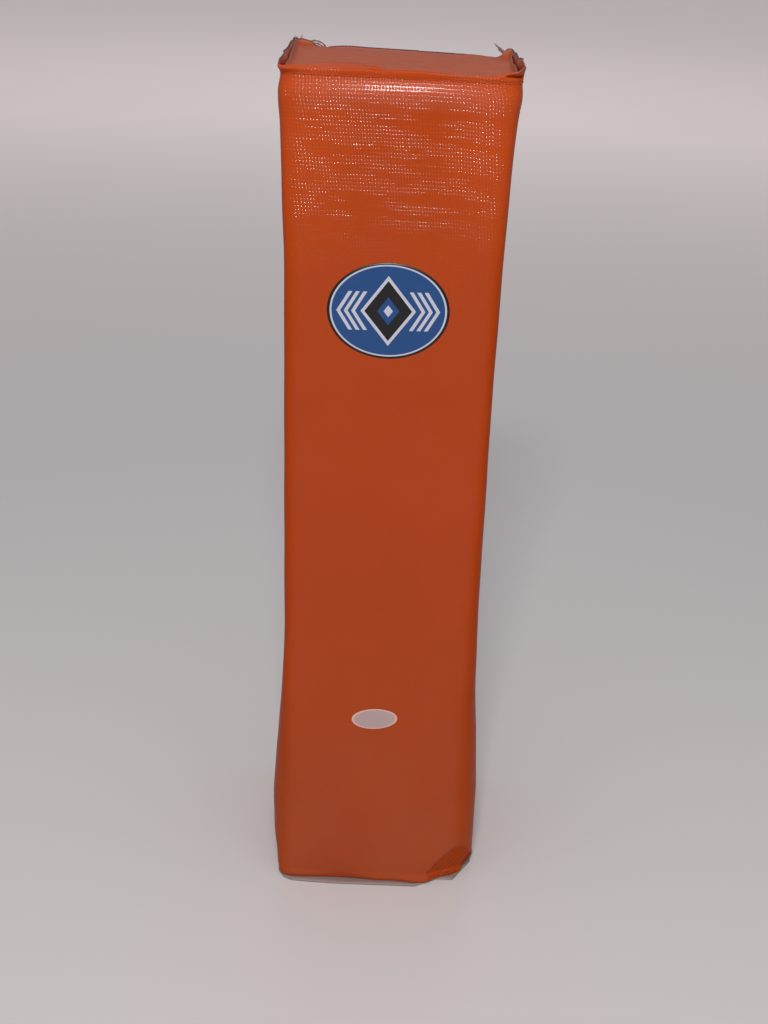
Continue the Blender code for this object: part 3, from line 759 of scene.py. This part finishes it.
# Millimetres at angles in degrees: the margin's rise, how far in its edge is and where it starts to rise.
PANEL_RISE = [
    (80, 3.5), (107, 3.7), (122, 3.7), (125.1, 3.2), (126.9, 2.8), (128.7, 3.5), (130.4, 4.4),
    (131.9, 6.2), (133.6, 7.0), (136, 7.0), (139.5, 7.9), (146, 7.4), (166, 7.0), (180, 6.4), (203, 6.0),
    (215, 5.2), (222, 4.2), (228, 3.4), (240, 3.3), (300, 3.2), (308, 3.4), (312, 4.6), (317, 6.0),
    (325, 6.6), (336, 6.6), (351, 6.4), (369, 6.4), (388, 6.6), (400, 6.2), (405, 6.8), (406.7, 5.9),
    (407.5, 3.8), (408.3, 3.0), (409.5, 2.3), (411.4, 2.4), (414.6, 2.9), (426, 3.1), (444, 3.2),
    (460, 3.5),
]
PANEL_IN = [
    (80, -2.0), (123, -2.0), (130, -2.6), (135, -3.4), (140, -2.4), (146, -1.2), (155, -0.5), (165, 0.3),
    (180, 0.9), (195, 1.4), (205, 2.4), (213, 2.8), (220, 2.2), (226, 1.4), (234, 1.2), (300, 1.2),
    (310, 2.2), (316, 2.8), (322, 3.0), (336, 2.2), (351, 2.0), (369, 1.4), (388, 0.8), (396, -0.2),
    (400, -1.3), (405, -3.2), (408, -2.4), (412, -2.0), (460, -2.0),
]
PANEL_START = [
    (80, 14.0), (123, 14.0), (128, 7.0), (132, 4.5), (140, 4.0), (165, 4.0), (200, 6.0), (213, 8.0),
    (225, 5.0), (234, 4.0), (300, 4.0), (312, 4.0), (322, 5.0), (340, 4.5), (388, 3.5), (400, 4.0),
    (406, 4.5), (410, 7.0), (416, 14.0), (460, 14.0),
]

panel_side = PANEL_FLAT_RINGS + PANEL_MARGIN_RINGS
panel_steps = np.arange(-panel_side, panel_side + 1)
panel_i, panel_j = np.meshgrid(panel_steps, panel_steps)
panel_ring = np.maximum(np.abs(panel_i), np.abs(panel_j))
panel_angle = np.degrees(np.arctan2(panel_j, panel_i))
panel_angle = np.where(panel_angle < 82.0, panel_angle + 360.0, panel_angle)
panel_base = pylon_radius(panel_angle, SEAM_Z) - FOAM_INSET - PANEL_DRAWN_IN
start_in = 0.001 * through(PANEL_START, panel_angle)
rim_in = 0.001 * through(PANEL_IN, panel_angle)
rim_level = SEAM_Z + 0.001 * through(PANEL_RISE, panel_angle) + edge_wear(panel_angle + 7.0, 0.0003)
flat_radius = (panel_base - start_in) * np.minimum(panel_ring / PANEL_FLAT_RINGS, 1.0)
c, s = direction(panel_angle)
flat_x = flat_radius * c
flat_y = flat_radius * s
puckers = 0.0003 * hill(flat_x, 0.041, 0.006) * hill(flat_y, 0.0, 0.012) * np.sin(flat_y / 0.0022)
flat_level = crown(flat_x, flat_y) + puckers
going = np.clip((panel_ring - PANEL_FLAT_RINGS) / PANEL_MARGIN_RINGS, 0.0, 1.0)
bend_in = rim_in + 0.2 * (start_in - rim_in)
panel_out = ((1.0 - going) ** 2 * flat_radius + 2.0 * going * (1.0 - going) * (panel_base - bend_in)
             + going ** 2 * (panel_base - rim_in))
panel_out = np.where(panel_ring > PANEL_FLAT_RINGS, panel_out, flat_radius)
panel_z = (1.0 - going ** 2) * flat_level + going ** 2 * rim_level
panel_points = standing(panel_angle, panel_out, panel_z)
panel_uv = np.stack([panel_i, panel_j], axis=-1) * PANEL_SPACING

# Painted sheen: the top is the wall's cloth, given a greyer colour with more green and blue for the sheen it
# takes lying flat.
orange_top = coated_cloth(
    "top_cloth_painted_sheen", dark=(0.340, 0.0565, 0.0130), light=(0.368, 0.0640, 0.0170), weave_height=0.00003,
    smooth=0.50, rough=0.58, gloss=0.20, clear=0.0, top_light_share=0.0, rim_sheen_share=0.65)

top_edge, tree, shader = new_surface("cut_top_cloth_edge")
dress(tree, shader, mottled(tree, 800.0, (0.20, 0.045, 0.018), (0.28, 0.075, 0.040)), 0.75)

top_panel = mesh_of_grid("top_panel_cloth", panel_points, [orange_top, top_edge], uv=panel_uv)
mark(top_panel, "from_rim", (panel_side - panel_ring) * 0.00035 + 0.001)
sheet_wall(top_panel, CLOTH, rim=1)
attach(top_panel, "root")
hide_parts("top_panel")


# Seam threads.
# Polyester thread in lockstitch: one row joins the wall to the top panel, one closes the lap up the back.
# Each stitch shows for three millimetres, then dips through the cloth.

THREAD = 0.00024
THREAD_LEVEL = 0.4535
STITCH = 0.0036


def sewn_path(run, plain, outward):
    """Path that lies on the cloth and dips through it once a stitch."""
    phase = (run / STITCH) % 1.0
    dip = hill(phase, 0.0, 0.10) + hill(phase, 1.0, 0.10)
    return plain + outward * (0.00016 - 0.0007 * dip)[:, None]


def tube_along(path, radius, sides=6):
    """Profile carried along a path: a round ring square to the path at each of its points."""
    ahead = np.gradient(path, axis=0)
    ahead /= np.linalg.norm(ahead, axis=1)[:, None]
    up = np.array([0.0, 0.0, 1.0]) if abs(ahead[:, 2]).mean() < 0.7 else np.array([1.0, 0.0, 0.0])
    side = np.cross(ahead, up)
    side /= np.linalg.norm(side, axis=1)[:, None]
    other = np.cross(side, ahead)
    turn = np.linspace(0.0, 2.0 * np.pi, sides, endpoint=False)[None, :, None]
    thick = np.broadcast_to(np.asarray(radius, float), (len(path),))[:, None, None]
    return path[:, None] + thick * (np.cos(turn) * side[:, None] + np.sin(turn) * other[:, None])


def closed_tube(path, radius, sides=6):
    """The same, closed at both ends: there the ring shrinks to a point."""
    radius = np.broadcast_to(np.asarray(radius, float), (len(path),))
    tube = tube_along(path, radius, sides)
    first = np.broadcast_to(path[:1, None], (1, sides, 3))
    last = np.broadcast_to(path[-1:, None], (1, sides, 3))
    return np.concatenate([first, tube, last])


thread_orange, tree, shader = new_surface("orange_thread")
shade = mottled(tree, 1400.0, (0.36, 0.045, 0.008), (0.44, 0.062, 0.014))
dress(tree, shader, shade, 0.8, bump(tree, noise(tree, 2600.0), 0.5, 0.0001))
shader.inputs["Specular IOR Level"].default_value = 0.15

# Past the lap's end the thread is back on the first layer of cloth, where it meets its own start.
seam_angles = np.linspace(97.9, 457.9, 1500, endpoint=False)
past_lap = seam_angles > 457.3
seam_radius = wall_radius(np.where(past_lap, seam_angles - 360.0, seam_angles), THREAD_LEVEL)
seam_plain = standing(seam_angles, seam_radius, THREAD_LEVEL)
seam_run = run_along(seam_plain)
seam_run *= STITCH * round(seam_run[-1] / STITCH) / seam_run[-1]
seam_out = seam_plain * np.array([1.0, 1.0, 0.0])
seam_out /= np.linalg.norm(seam_out, axis=1)[:, None]
seam_tube = tube_along(sewn_path(seam_run, seam_plain, seam_out), THREAD)
seam_rings = np.swapaxes(np.concatenate([seam_tube, seam_tube[:, :1]], axis=1), 0, 1)[::-1]
top_thread = mesh_of_grid("top_seam_stitches", seam_rings, [thread_orange], around=True)

lap_z = np.linspace(0.009, 0.4475, 1300)
lap_plain = standing(LAP_MIDDLE, wall_radius(LAP_MIDDLE, lap_z), lap_z)
lap_path = sewn_path(lap_z, lap_plain, np.array([[0.0, 1.0, 0.0]]))
lap_tube = closed_tube(lap_path, THREAD)
back_thread = mesh_of_grid("back_seam_stitches", lap_tube, [thread_orange], around=True)

for piece, stands_for in ((top_thread, "top_seam_thread"), (back_thread, "back_seam_thread")):
    merged(piece)
    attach(piece, "root")
    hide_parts(stands_for)


# Frayed yarns.
# Ends of the yarn inside the coated cloth, worn loose at the two back corners of the top's margin.
# Each is a soft bundle that thins towards its end. The first two lie along the rim in a low loop.

YARN_POINTS = 40
YARNS = [
    ([(-0.0526, 0.0582, 0.4580), (-0.05184, 0.0582, 0.45877), (-0.05023, 0.0582, 0.45905),
      (-0.04851, 0.0582, 0.45926), (-0.04706, 0.0582, 0.45911), (-0.04587, 0.0582, 0.4588),
      (-0.04468, 0.0582, 0.45828), (-0.0437, 0.0582, 0.45761), (-0.04282, 0.0582, 0.45682),
      (-0.04227, 0.0582, 0.45607)],
     0.00042, 0.00036),
    ([(-0.0524, 0.0580, 0.4580), (-0.05113, 0.0581, 0.45829), (-0.04914, 0.0582, 0.45806),
      (-0.04698, 0.0582, 0.45779), (-0.04509, 0.0582, 0.45704), (-0.04346, 0.0582, 0.45623),
      (-0.04237, 0.0582, 0.45592)],
     0.00042, 0.00036),
    ([(0.0541, 0.0576, 0.4558), (0.05338, 0.0580, 0.45678), (0.0524, 0.0581, 0.45787),
      (0.05109, 0.0582, 0.45889), (0.04962, 0.0583, 0.46001), (0.04848, 0.0584, 0.46099),
      (0.04769, 0.0585, 0.46167)],
     0.00095, 0.00006),
    ([(0.0539, 0.0572, 0.4559), (0.05318, 0.0576, 0.45662), (0.05187, 0.0578, 0.45769),
      (0.05066, 0.0579, 0.45821), (0.04991, 0.0580, 0.4589)],
     0.00080, 0.00010),
    ([(-0.0592, 0.0568, 0.4584), (-0.05938, 0.0570, 0.45955), (-0.05907, 0.0571, 0.46048),
      (-0.05892, 0.0572, 0.4613)],
     0.00060, 0.00010),
    ([(-0.0572, 0.0568, 0.4590), (-0.05767, 0.0570, 0.46022), (-0.05838, 0.0571, 0.46091),
      (-0.05881, 0.0572, 0.46125)],
     0.00055, 0.00010),
    ([(-0.0562, 0.0572, 0.4590), (-0.05595, 0.0575, 0.46035), (-0.05553, 0.0576, 0.46108),
      (-0.05495, 0.0577, 0.46192)],
     0.00050, 0.00008),
]


def smooth_path(points, count):
    """Points evenly set along a curve through the given ones: each coordinate is a cubic of the run."""
    points = np.array(points)
    run = run_along(points)
    at = np.linspace(0.0, run[-1], count)
    return np.stack([through(np.stack([run, points[:, i]], axis=-1), at) for i in range(3)], axis=-1)


loose_yarn, tree, shader = new_surface("loose_yarn")
shade = mottled(tree, 1800.0, (0.105, 0.058, 0.052), (0.26, 0.150, 0.135))
dress(tree, shader, shade, 0.8, bump(tree, noise(tree, 3000.0), 0.6, 0.0001))

for number, (points, thick, thin) in enumerate(YARNS):
    path = smooth_path(points, YARN_POINTS)
    along = np.linspace(0.0, 1.0, YARN_POINTS)
    radius = thin + (thick - thin) * (1.0 - along) ** 0.7
    lumps = 0.18 * np.sin(along * 23.0 + number) + 0.10 * np.sin(along * 51.0 + 2.0 * number)
    tube = closed_tube(path, radius * (1.0 + lumps), 8)
    yarn = mesh_of_grid(f"loose_yarn_{number + 1}", tube, [loose_yarn], around=True)
    merged(yarn)
    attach(yarn, "root")


# Decals.
# Two printed vinyl films stuck to the front: a large oval in blue, white and black, and a small blank one.
# Both follow the cloth under them and stand a film's thickness off it.

FILM = 0.00022
FILM_SUNK = 0.00008
DECAL_SIZE = (0.0610, 0.0489)
STICKER_SIZE = (0.0256, 0.0124)
STRIPES_FROM = 0.0165
STRIPE_PITCH = 0.0037
BLUE = (0.004, 0.049, 0.178)
WHITE = (0.45, 0.46, 0.55)
BLACK = (0.001, 0.001, 0.002)


def front_face(x, z):
    """The front's y at x and z: the angle is corrected until the outline's point there has this x."""
    y = -0.055
    for _ in range(6):
        angle = np.degrees(np.arctan2(y, x)) % 360.0
        y = wall_radius(angle, z) * np.sin(np.radians(angle))
    return y


def oval_film(name, middle_x, middle_z, size, turned, surface):
    """Oval grid from its middle to its edge, laid on the front face turned by some degrees.

    It carries its own flat coordinates in metres.
    """
    width, height = size
    share = np.linspace(0.0, 1.0, 26)[:, None]
    turn = np.linspace(0.0, 2.0 * np.pi, 128, endpoint=False)[None, :]
    u = share * width / 2.0 * np.cos(turn)
    v = share * height / 2.0 * np.sin(turn)
    c, s = direction(turned)
    x = middle_x + u * c - v * s
    z = middle_z + u * s + v * c
    y = front_face(x, z) - FILM_SUNK
    points = np.stack([x, y, leaned(x, z)], axis=-1)
    film = mesh_of_grid(name, points, [surface], around=True, uv=np.stack([u, v], axis=-1))
    merged(film)
    sheet_wall(film, FILM, offset=1.0)
    return film


def out_from_middle(tree, u, v, size):
    """0 in the middle of an oval film and 1 at its edge."""
    across = maths(tree, "DIVIDE", u, size[0] / 2.0)
    upward = maths(tree, "DIVIDE", v, size[1] / 2.0)
    squares = maths(tree, "ADD", product(tree, across, across), product(tree, upward, upward))
    return maths(tree, "SQRT", squares)


blue_film, tree, shader = new_surface("printed_oval_film")
u, v, _ = split(tree, sheet_place(tree))
out = out_from_middle(tree, u, v, DECAL_SIZE)
size_u = maths(tree, "ABSOLUTE", u)
size_v = maths(tree, "ABSOLUTE", v)
diamond = maths(tree, "ADD", maths(tree, "DIVIDE", size_u, 0.0138), maths(tree, "DIVIDE", size_v, 0.0178))
slanted = maths(tree, "ADD", size_u, product(tree, size_v, 0.62))
stripe = maths(tree, "DIVIDE", maths(tree, "SUBTRACT", slanted, STRIPES_FROM), STRIPE_PITCH)
striped = maths(tree, "LESS_THAN", maths(tree, "FRACT", stripe), 0.52)
past_first = maths(tree, "GREATER_THAN", slanted, STRIPES_FROM)
before_last = maths(tree, "LESS_THAN", slanted, 0.0260)
striped = product(tree, striped, past_first, maths(tree, "LESS_THAN", size_v, 0.0098), before_last)
shade = blend_colour(tree, striped, BLUE, WHITE)
for within, colour in ((1.0, WHITE), (0.86, BLACK), (0.40, BLUE), (0.17, WHITE)):
    shade = blend_colour(tree, maths(tree, "LESS_THAN", diamond, within), shade, colour)
for beyond, colour in ((0.925, WHITE), (0.955, BLACK)):
    shade = blend_colour(tree, maths(tree, "GREATER_THAN", out, beyond), shade, colour)
polish = spread(tree, noise(tree, 90.0), 0.3, 0.7, 0.30, 0.42)
dress(tree, shader, shade, polish, bump(tree, noise(tree, 160.0), 0.25, 0.0002))

white_film, tree, shader = new_surface("blank_white_film")
shade = mottled(tree, 70.0, (0.367, 0.268, 0.270), (0.411, 0.300, 0.302))
u, v, _ = split(tree, sheet_place(tree))
out = out_from_middle(tree, u, v, STICKER_SIZE)
shade = blend_colour(tree, spread(tree, out, 0.86, 0.93), shade, (0.62, 0.37, 0.30))
dress(tree, shader, shade, 0.38, bump(tree, noise(tree, 260.0), 0.25, 0.0002))

oval_decal = oval_film("oval_decal", -0.0018, 0.3423, DECAL_SIZE, 1.3, blue_film)
small_oval = oval_film("small_oval_sticker", -0.0007, 0.1085, STICKER_SIZE, 4.3, white_film)
for piece, stands_for, finish in ((oval_decal, "front_decal", "blue_film"),
                                  (small_oval, "small_sticker", "white_film")):
    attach(piece, "root")
    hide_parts(stands_for)


# Floor, light and camera.
# A pale floor that runs past the frame, its colour painted darker near the pylon and paler away from it as
# painted shade and light, soft light from the room, one small lamp in front and one wide lamp far behind,
# which lifts the floor at the top of the picture.

FLOOR_HALF = 30.0
FLOOR_LEVEL = -0.0001

floor_mesh = bpy.data.meshes.new("floor")
ways = ((-1, -1), (1, -1), (1, 1), (-1, 1))
floor_corners = [(x * FLOOR_HALF, y * FLOOR_HALF, FLOOR_LEVEL) for x, y in ways]
floor_mesh.from_pydata(floor_corners, [], [(0, 1, 2, 3)])
floor = placed("floor", floor_mesh)
pale, tree, shader = new_surface("pale_floor")
away = node(tree, "ShaderNodeVectorMath", {0: object_place(tree)}, operation="LENGTH").outputs["Value"]
# Painted shade and light: the floor's colour is darker near the pylon and paler far from it.
shade = blend_colour(tree, spread(tree, away, 0.7, 3.2), (0.575, 0.556, 0.570), (0.95, 0.87, 0.88))
dress(tree, shader, shade, 0.55)
floor_mesh.materials.append(pale)

room = bpy.data.worlds.new("room")
room.use_nodes = True
room.node_tree.nodes["Background"].inputs["Color"].default_value = (1.0, 0.955, 0.965, 1.0)
room.node_tree.nodes["Background"].inputs["Strength"].default_value = 0.37
bpy.context.scene.world = room


def lamp(name, kind, energy, place, aim, **settings):
    """Puts a light of this energy at place, turned to face the point aim."""
    light = bpy.data.lights.new(name, kind)
    light.energy = energy
    for key, value in settings.items():
        setattr(light, key, value)
    made = placed(name, light)
    made.location = place
    toward = np.array(aim) - np.array(place)
    flat = math.hypot(toward[0], toward[1])
    made.rotation_euler = (math.atan2(flat, -toward[2]), 0.0, math.atan2(-toward[0], toward[1]))
    made.visible_camera = False


lamp("room_light", "SUN", 0.50, (-0.12, -1.3, 2.2), (0.0, 0.0, 0.0),
     angle=math.radians(70.0), color=(1.0, 0.985, 0.975))
lamp("front_lamp", "AREA", 12.2, (-0.03, -1.00, 1.15), (0.0, -0.05, 0.42),
     shape="RECTANGLE", size=0.20, size_y=0.11, color=(1.0, 0.975, 0.93))
lamp("far_lamp", "AREA", 14.0, (0.0, 3.6, 2.6), (0.0, 4.2, 0.0), shape="SQUARE", size=2.0)

# The camera is the pinhole fitted to the photograph, its turns in degrees.
PAN = 0.69
TILT_DOWN = 23.15
ROLL = 2.27

view = bpy.data.cameras.new("photo_camera")
view.lens = 49.29
view.sensor_width = 36.0
view.sensor_fit = "AUTO"
view.clip_start = 0.01
view.clip_end = 200.0
camera = placed("photo_camera", view)
camera.location = (0.0082, -0.732, 0.524)
turn = Matrix.Rotation(math.radians(PAN), 4, "Z") @ Matrix.Rotation(math.radians(90.0 - TILT_DOWN), 4, "X")
turn = turn @ Matrix.Rotation(math.radians(ROLL), 4, "Z")
camera.rotation_euler = turn.to_euler()
bpy.context.scene.camera = camera
bpy.context.scene.view_settings.view_transform = "Standard"
